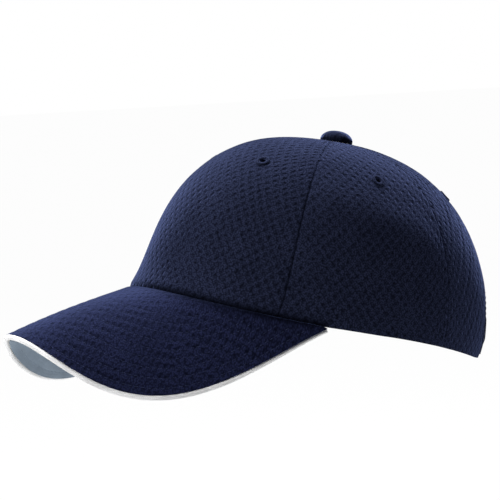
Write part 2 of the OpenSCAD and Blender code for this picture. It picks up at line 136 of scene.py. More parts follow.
def thetaAt(phi, h):  # h is the height above the rim
    return math.degrees(math.asin(min(h / (crown["height"] - rimHeight(phi)), 1) ** (crown["rise"] / 2)))


def thetaNearTop(phi, r):  # r is the distance from the middle of the top
    rim = math.hypot(crown["halfWidth"] * sind(phi), crown["front" if cosd(phi) > 0 else "back"] * cosd(phi))
    return math.degrees(math.acos((r / rim) ** (fullness(phi) / 2)))


def degreesFor(phi, theta, length):  # angle that spans a length round the crown
    return length / (crownFace(phi + 0.5, theta) - crownFace(phi - 0.5, theta)).length


def archWide(grow=0):  # angle from the middle of the back to the opening's foot
    return math.degrees(math.asin((arch["halfWidth"] + grow) / crown["halfWidth"]))


def archEdge(s, grow=0):  # s runs over the opening, from 0 to 180 degrees
    return 180 - archWide(grow) * cosd(s), (arch["height"] + grow) * sind(s)


# The visor's shape: alpha runs from side to side, r from the crown to the outer edge
visor = dict(corner=73, reach=0.064, drop=0.028, curl=0.0294, swell=0.0056, camber=0.002, end=87,
             point=1.51, dropShape=1.15, curlShape=2.33,
             topThick=0.001, boardThick=0.002, underThick=0.0008, plyGap=0.0002)
visorStack = visor["topThick"] + visor["boardThick"] + visor["underThick"] + 2 * visor["plyGap"]


def visorInner(alpha):
    return crownFace(visor["corner"] * alpha / 90, 0) - Vector((0, 0, layGap))


def visorOuter(alpha):
    corner = crownFace(visor["corner"], 0)
    front = crown["front"] + crown["flare"] + visor["reach"] + corner.y
    drop = visor["drop"] * cosd(alpha) ** visor["dropShape"]
    drop += visor["curl"] * abs(sind(2 * alpha)) ** visor["curlShape"]
    return Vector((corner.x * sind(alpha) + visor["swell"] * sind(2 * alpha),
                   corner.y - front * cosd(alpha) ** visor["point"], corner.z * abs(sind(alpha)) - drop))


def visorFace(alpha, r):
    lift = visor["camber"] * cosd(alpha) * 4 * r * (1 - r)
    return visorInner(alpha).lerp(visorOuter(alpha), r) + Vector((0, 0, lift))


def visorAlong(alpha, r, step=0.4):
    return visorFace(alpha + step, r) - visorFace(alpha - step, r)


def visorUp(alpha, r, step=0.01):
    out = visorFace(alpha, r + step) - visorFace(alpha, r - step)
    return out.cross(visorAlong(alpha, r)).normalized()


def visorAt(alpha, r, depth=0):
    return visorFace(alpha, r) - depth * visorUp(alpha, r)


def visorWidth(alpha):
    return (visorOuter(alpha) - visorInner(alpha)).length


# Materials

def addNode(tree, kind, inputs=None, **settings):
    made = tree.nodes.new("ShaderNode" + kind)
    for key, value in settings.items():
        setattr(made, key, value)
    for key, value in (inputs or {}).items():
        if isinstance(value, bpy.types.NodeSocket):
            tree.links.new(value, made.inputs[key])
        else:
            made.inputs[key].default_value = value
    return made


def startMaterial(name, **sockets):
    made = bpy.data.materials.new(name)
    made.use_nodes = True
    shader = made.node_tree.nodes["Principled BSDF"]
    for key, value in sockets.items():
        shader.inputs[key.replace("_", " ")].default_value = value
    return made, made.node_tree, shader


def finishMaterial(tree, shader, base, height, deep):  # its colour, and a bump from a height
    tree.links.new(base, shader.inputs["Base Color"])
    bump = addNode(tree, "Bump", {"Height": height, "Distance": deep, "Strength": 1.0})
    tree.links.new(bump.outputs[0], shader.inputs["Normal"])


def ramp(tree, value, low, high, fromValue=0.0, toValue=1.0):
    return addNode(tree, "MapRange", {"Value": value, "From Min": low, "From Max": high, "To Min": fromValue,
                                      "To Max": toValue}, interpolation_type="SMOOTHSTEP").outputs[0]


def sums(tree, operation, a, b):
    return addNode(tree, "Math", {0: a, 1: b}, operation=operation).outputs[0]


def blendColours(tree, factor, a, b):
    return addNode(tree, "Mix", {0: factor, 6: a, 7: b}, data_type="RGBA").outputs[2]


def shade(colour, k):
    return tuple(c * k for c in colour[:3]) + (1,)


def clothCoords(tree, scale, turnBy=0.0, tall=1.0):
    uv = addNode(tree, "UVMap", uv_map="cloth").outputs[0]
    return addNode(tree, "Mapping", {"Vector": uv, "Scale": (scale, scale / tall, scale),
                                     "Rotation": (0, 0, math.radians(turnBy))}).outputs[0]


def objectCoords(tree):
    return addNode(tree, "TexCoord").outputs["Object"]


def objectNoise(tree, scale, detail, output="Fac"):
    found = addNode(tree, "TexNoise", {"Vector": objectCoords(tree), "Scale": scale, "Detail": detail})
    return found.outputs[output]


def flatCells(tree, coords, uneven):  # cells over the cloth as laid out flat
    return addNode(tree, "TexVoronoi", {"Vector": coords, "Scale": 1.0, "Randomness": uneven},
                   voronoi_dimensions="2D")


def sewnMark(tree):  # 1 where shade is painted: along seams (with their needle holes and thread), at the visor's join and tips, and round the eyelets
    return addNode(tree, "Attribute", attribute_name="sewn").outputs["Fac"]


pitShade = 0.06  # what is left of a colour in a dimple of the knit, and in the painted shade along seams and round eyelets
blueSheen = (0.35, 0.45, 1, 1)

# Knitted mesh: dark dimples in staggered rows, between fine ribs, a little uneven
meshKnit = dict(pitch=0.0056, tall=1.18, uneven=0.12, sway=(0.35, 0.35, 0), swayScale=170.0, ribPitch=0.0011,
                ribUneven=0.8, blotchScale=38.0, yarnScale=750.0, seamAndShadeDark=0.9, sheen=(0.345, 0.452, 1, 1))


def meshCloth(name, colour, dark, deep=0.00018, sheen=0.6):
    made, tree, shader = startMaterial(name, Roughness=0.8, Specular_IOR_Level=0.0, Sheen_Weight=sheen,
                                       Sheen_Roughness=0.35, Sheen_Tint=meshKnit["sheen"])
    sway = objectNoise(tree, meshKnit["swayScale"], 2.0, "Color")
    flat = clothCoords(tree, 2 ** 0.5 / meshKnit["pitch"], 45, meshKnit["tall"])
    lay = addNode(tree, "VectorMath", {0: sway, 1: meshKnit["sway"], 2: flat}, operation="MULTIPLY_ADD")
    holes = flatCells(tree, lay.outputs[0], meshKnit["uneven"])
    cells = holes.outputs["Distance"]
    uneven = addNode(tree, "SeparateColor", {0: holes.outputs["Color"]}).outputs[0]
    dimple = sums(tree, "MULTIPLY", ramp(tree, cells, 0.06, 0.42, 1, 0), ramp(tree, uneven, 0, 1, 0.5, 1))
    ribFlat = clothCoords(tree, 1 / meshKnit["ribPitch"], 45)
    ribs = flatCells(tree, ribFlat, meshKnit["ribUneven"]).outputs["Distance"]
    blotch = objectNoise(tree, meshKnit["blotchScale"], 4.0)
    yarn = objectNoise(tree, meshKnit["yarnScale"], 1.0)
    base = blendColours(tree, ramp(tree, blotch, 0.3, 0.7), shade(colour, 0.85), shade(colour, 1.3))
    base = blendColours(tree, ramp(tree, cells, 0.34, 0.64, 0, 0.6), base, shade(colour, 1.6))
    base = blendColours(tree, ramp(tree, yarn, 0.4, 0.65, 0, 0.22), base, shade(colour, 2))
    base = blendColours(tree, ramp(tree, ribs, 0.15, 0.7, 0, 0.9), base, shade(colour, 0.35))
    base = blendColours(tree, sums(tree, "MULTIPLY", dimple, dark), base, shade(colour, pitShade))
    # painted shade along seams and the visor's join, with the seams' needle holes and thread
    seamsAndShade = sums(tree, "MULTIPLY", sewnMark(tree), meshKnit["seamAndShadeDark"])
    base = blendColours(tree, seamsAndShade, base, shade(colour, pitShade))
    height = sums(tree, "SUBTRACT", sums(tree, "MULTIPLY", ribs, -0.5), dimple)
    finishMaterial(tree, shader, base, height, deep)
    return made


# Twill or rib: slanted threads
def twillCloth(name, colour, pitch, slant, deep=0.00018, sheen=0.2, groove=0.5):
    made, tree, shader = startMaterial(name, Roughness=0.8, Specular_IOR_Level=0.05, Sheen_Weight=sheen,
                                       Sheen_Roughness=0.5, Sheen_Tint=blueSheen)
    ribs = addNode(tree, "TexWave", {"Vector": clothCoords(tree, 1 / pitch, slant), "Scale": 0.31416,
                                     "Distortion": 0.6, "Detail": 1.0, "Detail Scale": 2.0}).outputs[1]
    threads = addNode(tree, "TexWave", {"Vector": clothCoords(tree, 1 / pitch, slant + 90), "Scale": 0.47,
                                        "Distortion": 1.2}).outputs[1]
    blotch = objectNoise(tree, 60.0, 3.0)
    weave = sums(tree, "ADD", sums(tree, "MULTIPLY", ribs, 0.7), sums(tree, "MULTIPLY", threads, 0.3))
    base = blendColours(tree, ramp(tree, blotch, 0.3, 0.7), shade(colour, 0.88), shade(colour, 1.1))
    base = blendColours(tree, ramp(tree, weave, 0.1, 0.6, 0.45, 0), base, shade(colour, groove))
    finishMaterial(tree, shader, base, weave, deep)
    return made


# Sewing thread: twisted strands. One with a shaded edge gets painted shade round its outer edge, where the
# ring dents the cloth
def threadMaterial(name, colour, paintedShadeEdge=False):
    made, tree, shader = startMaterial(name, Roughness=0.8, Specular_IOR_Level=0.0, Sheen_Weight=0.25,
                                       Sheen_Tint=(0.38, 0.48, 1, 1))
    strands = addNode(tree, "TexWave", {"Vector": objectCoords(tree), "Scale": 900.0,
                                        "Distortion": 2.0}).outputs[1]
    base = blendColours(tree, strands, shade(colour, 0.7), shade(colour, 1.2))
    if paintedShadeEdge:
        # painted shade round the ring's outer edge
        base = blendColours(tree, sewnMark(tree), base, shade(colour, pitShade))
    finishMaterial(tree, shader, base, strands, 0.0001)
    return made


# Pile of hook or loop tape
def pileCloth(name, colour, pitch, uneven, sheen):
    made, tree, shader = startMaterial(name, Roughness=0.85, Specular_IOR_Level=0.1, Sheen_Weight=sheen,
                                       Sheen_Tint=blueSheen)
    cells = flatCells(tree, clothCoords(tree, 1 / pitch), uneven).outputs["Distance"]
    tufts = ramp(tree, cells, 0.05, 0.5, 1, 0)
    base = blendColours(tree, tufts, shade(colour, 0.35), shade(colour, 1.3))
    finishMaterial(tree, shader, base, tufts, 0.0005)
    return made


def grainyPlastic(name, colour, roughness, grain=0.0006):
    made, tree, shader = startMaterial(name, Specular_IOR_Level=0.5)
    fine = objectNoise(tree, 1 / grain, 2.0)
    wide = objectNoise(tree, 25.0, 5.0)
    base = blendColours(tree, wide, shade(colour, 0.8), shade(colour, 1.2))
    worn = ramp(tree, wide, 0.3, 0.7, roughness - 0.08, roughness + 0.08)
    tree.links.new(worn, shader.inputs["Roughness"])
    finishMaterial(tree, shader, base, fine, 0.00006)
    return made


def foamMaterial(name, colour):
    made, tree, shader = startMaterial(name, Roughness=0.9, Specular_IOR_Level=0.25, Sheen_Weight=0.15)
    pores = addNode(tree, "TexVoronoi", {"Vector": objectCoords(tree), "Scale": 1100.0}).outputs["Distance"]
    wide = objectNoise(tree, 45.0, 4.0)
    base = blendColours(tree, wide, shade(colour, 0.8), shade(colour, 1.2))
    base = blendColours(tree, ramp(tree, pores, 0.0, 0.5, 0.5, 0), base, shade(colour, 0.4))
    finishMaterial(tree, shader, base, pores, 0.0002)
    return made


def steelMaterial(name):
    made, tree, shader = startMaterial(name, Metallic=1.0)
    scratch = objectNoise(tree, 900.0, 3.0)
    base = blendColours(tree, scratch, (0.42, 0.43, 0.45, 1), (0.62, 0.63, 0.65, 1))
    tree.links.new(ramp(tree, scratch, 0.3, 0.7, 0.28, 0.42), shader.inputs["Roughness"])
    finishMaterial(tree, shader, base, scratch, 0.00003)
    return made


print("materials")
navy = (0.0104, 0.013, 0.0285)
white = (0.93, 0.93, 0.935)
finishes = dict(
    crownCloth=meshCloth("crown mesh cloth", shade(navy, 1.65), dark=0.52, deep=0.00044, sheen=0.28),
    buttonCloth=meshCloth("button mesh cloth", shade(navy, 0.75), dark=0.5),
    visorCloth=meshCloth("visor mesh cloth", (0.0118, 0.0145, 0.0415), dark=0.58, sheen=0.62),
    tape=twillCloth("seam tape twill", shade(navy, 0.7), pitch=0.0008, slant=0),
    band=twillCloth("sweatband twill", shade(navy, 0.8), pitch=0.0011, slant=40),
    webbing=twillCloth("strap webbing", shade(navy, 0.75), pitch=0.0013, slant=30),
    under=twillCloth("visor lining", (0.26, 0.32, 0.39), pitch=0.0006, slant=45, deep=0.00006, sheen=0.0),
    piping=twillCloth("white piping", white, pitch=0.0009, slant=20, deep=0.00006, sheen=0.0, groove=0.85),
    thread=threadMaterial("navy thread", shade(navy, 0.6)),
    visorThread=threadMaterial("visor thread", shade(navy, 2.5)),
    eyeletThread=threadMaterial("eyelet thread", shade(navy, 1.6), paintedShadeEdge=True),
    paleThread=threadMaterial("lining thread", (0.25, 0.305, 0.37)),
    hook=pileCloth("hook tape", shade(navy, 0.35), pitch=0.0011, uneven=0.25, sheen=0.1),
    loop=pileCloth("loop tape", shade(navy, 0.45), pitch=0.0007, uneven=1.0, sheen=0.3),
    shell=grainyPlastic("hard shell plastic", (0.022, 0.023, 0.026), 0.42),
    board=grainyPlastic("visor board plastic", (0.75, 0.75, 0.73), 0.5),
    foam=foamMaterial("foam", (0.06, 0.064, 0.072)),
    steel=steelMaterial("rivet steel"),
)


# Mesh helpers

def smoothFaces(mesh):
    for face in mesh.faces:
        face.smooth = True


def crispEdges(mesh):  # cut edges don't round off in the light
    for edge in mesh.edges:
        edge.smooth = not edge.is_boundary


def mergeDoubles(mesh):  # closes a grid that comes round to its own start
    bmesh.ops.remove_doubles(mesh, verts=mesh.verts, dist=1e-6)


def faceOutwards(mesh):
    bmesh.ops.recalc_face_normals(mesh, faces=mesh.faces)


def layFlat(mesh, spotOf):  # where each corner lies on the flat cloth, in metres
    layer = mesh.loops.layers.uv["cloth"]
    for face in mesh.faces:
        for loop in face.loops:
            loop[layer].uv = spotOf(loop.vert)


def curvedGrid(place, across, up, sewn=None):  # a grid bent into place
    mesh = bmesh.new()
    mesh.loops.layers.uv.new("cloth")
    # painted shade along seams, joins and eyelet edges, kept on each corner
    dark = mesh.verts.layers.float.new("sewn")
    bmesh.ops.create_grid(mesh, x_segments=across, y_segments=up, size=1)
    spots = {(round((v.co.x + 1) / 2 * across), round((v.co.y + 1) / 2 * up)): v for v in mesh.verts}
    for (i, j), vert in spots.items():
        vert.co = place(i / across, j / up)
        vert[dark] = sewn(i / across, j / up) if sewn else 0

    def apart(a, b):
        return (spots[a].co - spots[b].co).length

    flat, middle = {}, across // 2
    for j in range(up + 1):  # widths are measured from the middle column
        flat[middle, j] = [0.0, 0.0]
        for i in range(middle + 1, across + 1):
            flat[i, j] = [flat[i - 1, j][0] + apart((i, j), (i - 1, j)), 0.0]
        for i in range(middle - 1, -1, -1):
            flat[i, j] = [flat[i + 1, j][0] - apart((i, j), (i + 1, j)), 0.0]
    for i in range(across + 1):  # heights are measured down from the top row
        for j in range(up - 1, -1, -1):
            flat[i, j][1] = flat[i, j + 1][1] - apart((i, j), (i, j + 1))
    where = {vert: flat[spot] for spot, vert in spots.items()}
    layFlat(mesh, where.get)
    smoothFaces(mesh)
    return mesh


def meshObject(name, mesh):
    data = bpy.data.meshes.new(name)
    mesh.to_mesh(data)
    mesh.free()
    return addObject(name, data)


def addPiece(name, mesh, finish, body="cap", isNode=True):  # a node's piece stands in for that node
    mesh.transform(standMatrix)
    piece = meshObject(name + "_look" if isNode else name, mesh)
    piece.data.materials.append(finishes[finish])
    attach(piece, body)
    if isNode:
        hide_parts(name)
    return piece


def thicken(piece, thickness, rounded=0):
    wall = piece.modifiers.new("wall", "SOLIDIFY")
    wall.thickness, wall.offset = thickness, -1
    if rounded:
        edge = piece.modifiers.new("edge", "BEVEL")
        edge.width, edge.segments = rounded, 2
        edge.limit_method, edge.angle_limit = "ANGLE", math.radians(50)


# A piece of cloth, whose flat size comes from its cloth as laid out
def clothPiece(name, mesh, finish, thick, body="cap", rounded=0):
    piece = addPiece(name, mesh, finish, body)
    thicken(piece, thick, rounded)
    layer = piece.data.uv_layers["cloth"].data
    us, vs = [l.uv[0] for l in layer], [l.uv[1] for l in layer]
    width, length = max(us) - min(us), max(vs) - min(vs)


# Rows of stitches
stitch = dict(long=0.0026, gap=0.0007, thick=0.0003, samples=160)


def sewRow(mesh, path, thick):  # path(t) gives a place and the way out of the cloth
    points = [path(k / stitch["samples"]) for k in range(stitch["samples"] + 1)]
    run = [0.0]
    for a, b in zip(points, points[1:]):
        run.append(run[-1] + (b[0] - a[0]).length)
    count = max(int(run[-1] / (stitch["long"] + stitch["gap"])), 1)
    k = 0
    for n in range(count):
        at = (n + 0.5) / count * run[-1]
        while run[k + 1] < at:
            k += 1
        (a, outA), (b, outB) = points[k], points[k + 1]
        along = (b - a).normalized()
        side = outA.lerp(outB, 0.5).cross(along).normalized()
        out = along.cross(side)
        place = a.lerp(b, (at - run[k]) / max(run[k + 1] - run[k], 1e-9))
        turnTo = Matrix((along * stitch["long"] / 2, side * thick, out * thick)).transposed().to_4x4()
        bmesh.ops.create_icosphere(mesh, subdivisions=1, radius=1, matrix=Matrix.Translation(place) @ turnTo)


def stitchPiece(name, rows, body="cap", finish="thread", thick=stitch["thick"]):
    mesh = bmesh.new()
    for path in rows:
        sewRow(mesh, path, thick)
    smoothFaces(mesh)
    addPiece(name, mesh, finish, body, isNode=False)


def crownPath(angles, depth, outward=1):  # angles(t) gives phi and theta along the row
    def path(t):
        phi, theta = angles(t)
        return crownAt(phi, theta, depth), crownOut(phi, theta) * outward
    return path


# Crown panels
panel = dict(thick=0.0007, across=0.0021, up=66, evenly=0.15, rowShape=1.3, ripple=0.0004, rippleScale=26,
             rippleFine=70, rippleLow=0.02, hem=0.009, hemProud=0.0001, hemSoft=0.002, bindingDip=0.00045,
             bindingEdge=0.0006, bindingSoft=0.0012, widths=dict(front=0.2, side=0.11, rear=0.18))
seams = dict(dip=0.0008, wide=0.0006, darkWide=0.0005, near=0.005, pucker=0.00018, puckerScale=60,
             pitch=0.0055, sway=0.00016, swayScale=90, swayWide=0.004, swayLow=0.01, frontShow=0.72,
             sideShow=0.3, backShow=0.6, backFrom=150, stitchAside=0.0026, stitchThick=0.00016,
             stitchDeep=0.00002, stitchLow=0.001, stitchTop=0.011)
visorJoin = dict(dip=0.0008, sink=0.0004, wide=0.0015, darkWide=0.0024, fade=2)
rearCloth = dict(corner=0.0034, cornerFrom=0.6, rimShare=0.5, sag=0.0036, lift=0.0008, sagHigh=0.02,
                 turnOver=20, tuck=0.0014, tuckHigh=0.007, start=92, spread=58)
wrinkle = dict(deep=0.0002, pitch=0.009, scale=30, first=118, fadeIn=8, last=155, fadeOut=12, rise=0.7,
               run=0.108, low=0.012)
sideFold = dict(proud=0.0013, wide=0.011, high=0.072, fall=0.00033, fromSeam=0.016)
eyelet = dict(theta=52, angles=dict(front=30, side=89, rear=149), outer=0.0039, hole=0.0016, cut=0.003,
              proud=0.0009, threads=30, threadDeep=0.1, uneven=0.08, spread=0.06, edge=0.14, over=0.6,
              turn=0.65, inside=0.0005, insideGap=0.0001, sink=0.00005, thick=0.0002, rows=10)


def rearColumn(u):  # along the rim, round the corner and up the rear opening
    share = rearCloth["rimShare"]
    if u < share:
        k = (u / share - rearCloth["cornerFrom"]) / (1 - rearCloth["cornerFrom"])
        return mix(backSeam, archEdge(0)[0], u / share), rearCloth["corner"] * max(k, 0) ** 3
    first = math.degrees(math.asin(rearCloth["corner"] / arch["height"]))
    return archEdge(mix(first, 90, (u - share) / (1 - share)))


def farColumn(u):  # the same on the other side
    phi, low = rearColumn(1 - u)
    return 360 - phi, low


def roundTo(phi):  # degrees from the front, on either side
    phi = phi % 360
    return min(phi, 360 - phi)


def rearSag(phi, h):  # the rim turns in towards the rear corners, low on the left, a little up on the right
    far = smooth((roundTo(phi) - rearCloth["start"]) / rearCloth["spread"])
    fromBack = (180 - phi % 360) / rearCloth["turnOver"]
    hang = rearCloth["sag"] * smooth(fromBack) - rearCloth["lift"] * smooth(-fromBack)
    low = Vector((0, 0, far * hang * math.exp(-h / rearCloth["sagHigh"])))
    out = crownOut(phi, thetaAt(phi, max(h, 0.001)))
    return -low - out * rearCloth["tuck"] * far * bell(h, rearCloth["tuckHigh"])


def fromArch(phi, h):  # rough distance from the edge of the rear opening
    return (math.hypot((180 - phi) / archWide(), h / arch["height"]) - 1) * arch["around"]


def onVisor(phi):  # 1 where the visor is sewn on
    return smooth((visor["corner"] - roundTo(phi)) / visorJoin["fade"])


def seamShow(phi):  # the front seams show plainly, the others are softer
    if roundTo(phi) < (frontSeam + backSeam) / 2:
        return seams["frontShow"]
    return seams["sideShow"] if roundTo(phi) < seams["backFrom"] else seams["backShow"]


def sideRidge(phi, z, fromSeam):  # a soft fold in the left side panel, lower towards the back
    if not frontSeam < phi < backSeam:
        return 0
    high = sideFold["high"] - sideFold["fall"] * (phi - frontSeam)
    return sideFold["proud"] * bell(z - high, sideFold["wide"]) * smooth(fromSeam / sideFold["fromSeam"])


def rearWrinkle(phi, spot, fromRim):  # small slanting wrinkles in the rear panels
    angle = roundTo(phi)
    where = smooth((angle - wrinkle["first"]) / wrinkle["fadeIn"]) * smooth(fromRim / wrinkle["low"])
    where *= smooth((wrinkle["last"] - angle) / wrinkle["fadeOut"])
    slant = wrinkle["rise"] * spot.z - wrinkle["run"] * math.radians(angle)
    drift = 3 * noise.noise(spot * wrinkle["scale"])
    return wrinkle["deep"] * where * wave(slant, wrinkle["pitch"], drift)


def panelDepth(phi, theta, fromSeam, fromRim):  # seams sink, the hem stands proud, the cloth ripples
    spot = crownFace(phi, theta)
    dip = seams["dip"] * seamShow(phi) * bell(fromSeam, seams["wide"])
    near = bell(fromSeam, seams["near"])
    drift = 4 * noise.noise(spot * seams["puckerScale"])
    pucker = seams["pucker"] * near * wave(spot.z, seams["pitch"], drift)
    ripple = noise.noise(spot * panel["rippleScale"])
    ripple += 0.4 * noise.noise(spot * panel["rippleFine"] + Vector((3, 1, 2)))
    ripple *= panel["ripple"] * (1 - near) * smooth(fromRim / panel["rippleLow"])
    hem = panel["hemProud"] * smooth((panel["hem"] - fromRim) / panel["hemSoft"] + 0.5)
    covered = arch["bindingWidth"] + panel["bindingEdge"] - fromArch(phi % 360, spot.z - rimHeight(phi))
    bound = panel["bindingDip"] * smooth(covered / panel["bindingSoft"])
    fold = rearWrinkle(phi, spot, fromRim) - sideRidge(phi, spot.z, fromSeam)
    return dip + pucker + ripple + fold + bound - hem


def openEyelet(mesh, phi):  # one face opens into a hole that the sewn ring covers
    middle, out = crownAt(phi, eyelet["theta"]), crownOut(phi, eyelet["theta"])
    face = min(mesh.faces, key=lambda f: (f.calc_center_median() - middle).length)
    centre = face.calc_center_median()
    for vert in face.verts:
        away = vert.co - centre
        vert.co = middle + (away - away.dot(out) * out).normalized() * eyelet["cut"]
    bmesh.ops.delete(mesh, geom=[face], context="FACES")


def panelPiece(name, column, width, eyelets):
    (left, _), (right, _) = column(0), column(1)

    def spread(u, v):  # closer columns along the seams, closer rows at the rim
        phi, low = column(panel["evenly"] * u + (1 - panel["evenly"]) / 2 * (1 - math.cos(math.pi * u)))
        bottom = thetaAt(phi, low)
        theta = mix(bottom, thetaNearTop(phi, crown["topHole"]), v ** panel["rowShape"])
        ring = 1 / degreesFor(phi, theta, 1.0)  # metres in a degree round the crown
        fromSeam = min(phi - left, right - phi) * ring
        fromRim = (crownFace(phi, theta) - crownFace(phi, bottom)).length + 2 * low
        return phi, theta, fromSeam, fromRim, ring

    def place(u, v):
        phi, theta, fromSeam, fromRim, ring = spread(u, v)
        z = crownFace(phi, theta).z
        drift = 5 * noise.noise(Vector((z * seams["swayScale"], roundTo(phi) // 30, 0)))
        sway = wave(z, seams["pitch"], drift)
        sway *= seams["sway"] * bell(fromSeam, seams["swayWide"]) * smooth(z / seams["swayLow"])
        meets = onVisor(phi) * bell(fromRim, visorJoin["wide"])  # the edge sinks into the visor's cloth
        depth = panelDepth(phi, theta, fromSeam, fromRim) + visorJoin["dip"] * meets
        sunk = Vector((0, 0, visorJoin["sink"] * meets))
        return crownAt(phi + sway / ring, theta, depth) + rearSag(phi, max(z - rimHeight(phi), 0)) - sunk

    # painted shade along the seams, which also stands for their needle holes and thread, and in the groove
    # where the panel meets the visor
    def sewn(u, v):
        phi, _, fromSeam, fromRim, _ = spread(u, v)
        return max(seamShow(phi) * bell(fromSeam, seams["darkWide"]),
                   onVisor(phi) * bell(fromRim, visorJoin["darkWide"]))

    mesh = curvedGrid(place, 2 * round(width / panel["across"] / 2), panel["up"], sewn)
    crispEdges(mesh)
    for phi in eyelets:
        openEyelet(mesh, phi)
    clothPiece(name, mesh, "crownCloth", panel["thick"])


print("crown panels")
frontHole, sideHole, rearHole = eyelet["angles"].values()
frontWidth, sideWidth, rearWidth = panel["widths"].values()
panelPiece("front_panel", lambda u: (mix(-frontSeam, frontSeam, u), 0), frontWidth, (frontHole, -frontHole))
panelPiece("side_panel_left", lambda u: (mix(frontSeam, backSeam, u), 0), sideWidth, [sideHole])
panelPiece("side_panel_right", lambda u: (mix(-backSeam, -frontSeam, u), 0), sideWidth, [-sideHole])
panelPiece("rear_panel_left", rearColumn, rearWidth, [rearHole])
panelPiece("rear_panel_right", farColumn, rearWidth, [-rearHole])


def seamRow(seam, aside, low):  # a row of stitches beside a seam, from a height to the button
    def angles(t):
        theta = mix(thetaAt(seam, low), thetaNearTop(seam, seams["stitchTop"]), t)
        return seam + degreesFor(seam, theta, aside), theta
    return crownPath(angles, seams["stitchDeep"])


archTop = arch["height"] + arch["bindingWidth"]
seamAngles = dict(front_left=frontSeam, front_right=-frontSeam, rear_left=backSeam, rear_right=-backSeam,
                  back=180)
seamRows = []
for name, phi in seamAngles.items():
    low = seams["stitchLow"] + (archTop if name == "back" else 0)
    seamRows += [seamRow(phi, side * seams["stitchAside"], low) for side in (-1, 1)]
stitchPiece("crown_stitches", seamRows, thick=seams["stitchThick"])


# Sewn eyelets: threads wound over the edge of each hole
def eyeletRing(name, phi):
    middle, out = crownAt(phi, eyelet["theta"]), crownOut(phi, eyelet["theta"])
    east = out.cross(Vector((0, 0, 1))).normalized()
    north = out.cross(east)
    mid, half = (eyelet["outer"] + eyelet["hole"]) / 2, (eyelet["outer"] - eyelet["hole"]) / 2

    def place(u, v):
        a = 2 * math.pi * u
        lay = 1 + eyelet["threadDeep"] * math.cos(eyelet["threads"] * a)
        lay += eyelet["uneven"] * noise.noise(Vector((3 * math.cos(a), 3 * math.sin(a), phi)))
        if v < eyelet["turn"]:  # over the outside, then back along the inside
            k = math.pi * min(v / eyelet["over"], 1)
            rise = eyelet["proud"] * math.sin(k) * lay
        else:
            k = math.pi * (1 + (v - eyelet["turn"]) / (1 - eyelet["turn"]))
            rise = eyelet["inside"] * math.sin(k) - panel["thick"] - eyelet["insideGap"]
        r = mid + half * math.cos(k) * (1 + eyelet["spread"] * (lay - 1))
        return middle + (east * math.cos(a) + north * math.sin(a)) * r + out * (rise - eyelet["sink"])

    # painted shade round the ring's outer edge, where it dents the cloth
    mesh = curvedGrid(place, 4 * eyelet["threads"], eyelet["rows"], lambda u, v: bell(v, eyelet["edge"]))
    mergeDoubles(mesh)
    faceOutwards(mesh)
    thicken(addPiece(name, mesh, "eyeletThread"), eyelet["thick"])


print("eyelets and button")
for where, phi in eyelet["angles"].items():
    eyeletRing("eyelet_%s_left" % where, phi)
    eyeletRing("eyelet_%s_right" % where, -phi)

# Cloth-covered button
button = dict(radius=0.0091, height=0.0062, skirt=0.001, foot=0.0002, sideShape=0.85, topShape=1.15,
              folds=11, foldDeep=0.00012, stretch=1.15, thick=0.0006, across=64, up=20)
topSpot = Vector((0, crown["apexBack"], crown["height"]))


def buttonPlace(u, v):
    a, k = 2 * math.pi * u, math.pi / 2 * v
    z = layGap + button["skirt"] + (button["height"] - button["skirt"]) * math.sin(k) ** button["topShape"]
    if v == 0:
        z = button["foot"]
    gather = math.cos(button["folds"] * a + 2 * noise.noise(Vector((math.cos(a), math.sin(a), 0))))
    r = button["radius"] * math.cos(k) ** button["sideShape"]
    r -= button["foldDeep"] * gather * math.cos(k) ** 3
    return topSpot + Vector((r * math.cos(a), r * math.sin(a), z))


mesh = curvedGrid(buttonPlace, button["across"], button["up"])
layFlat(mesh, lambda vert: (vert.co - topSpot).xy * button["stretch"])  # straight across the button
mergeDoubles(mesh)
clothPiece("button_cover", mesh, "buttonCloth", button["thick"])

# Visor: white piping, two covers and their rows of stitches
print("visor")
pipe = dict(wide=0.0022, thick=0.0025, lift=0.0006, thin=32, least=0.4, root=0.999, lean=0.98, wall=0.0005,
            across=160, up=12)
rows = dict(first=0.0042, apart=0.0062, count=9, deep=0.00022, wide=0.0009, ends=0.005, topThick=0.00018,
            underThick=0.00016)
cover = dict(topThick=0.0006, underThick=0.0005, across=150, up=76, plainEdge=0.04, tuckShare=0.03,
             tuckUp=0.0003, tuckIn=0.0025, darkWide=0.003, tip=3, tipDark=0.8)
rowGaps = [rows["first"] + rows["apart"] * k for k in range(rows["count"])]


def visorGroove(alpha, r):
    fromEdge = (1 - r) * visorWidth(alpha)
    return rows["deep"] * sum(bell(fromEdge - gap, rows["wide"]) for gap in rowGaps)


def pipingPlace(u, v):  # a rounded white edge that thins out towards the corners
    alpha = mix(-visor["end"], visor["end"], u)
    size = min(1, mix(pipe["least"], 1, (90 - abs(alpha)) / pipe["thin"]))
    up = visorUp(alpha, pipe["lean"])
    out = visorAlong(alpha, 1).normalized().cross(up)
    if out.dot(visorOuter(alpha) - visorInner(alpha)) < 0:
        out = -out
    half = pipe["thick"] / 2 * size
    a = math.pi * (0.5 - v)
    swell = 0 if v in (0, 1) else pipe["wide"] * size - half + half * math.cos(a)
    place = visorAt(alpha, pipe["root"], visorStack / 2 - pipe["lift"] * size) + visor["plyGap"] * out
    return place + out * swell + up * half * math.sin(a)


mesh = curvedGrid(pipingPlace, pipe["across"], pipe["up"])
faceOutwards(mesh)
piping = addPiece("visor_piping", mesh, "piping")
thicken(piping, pipe["wall"])


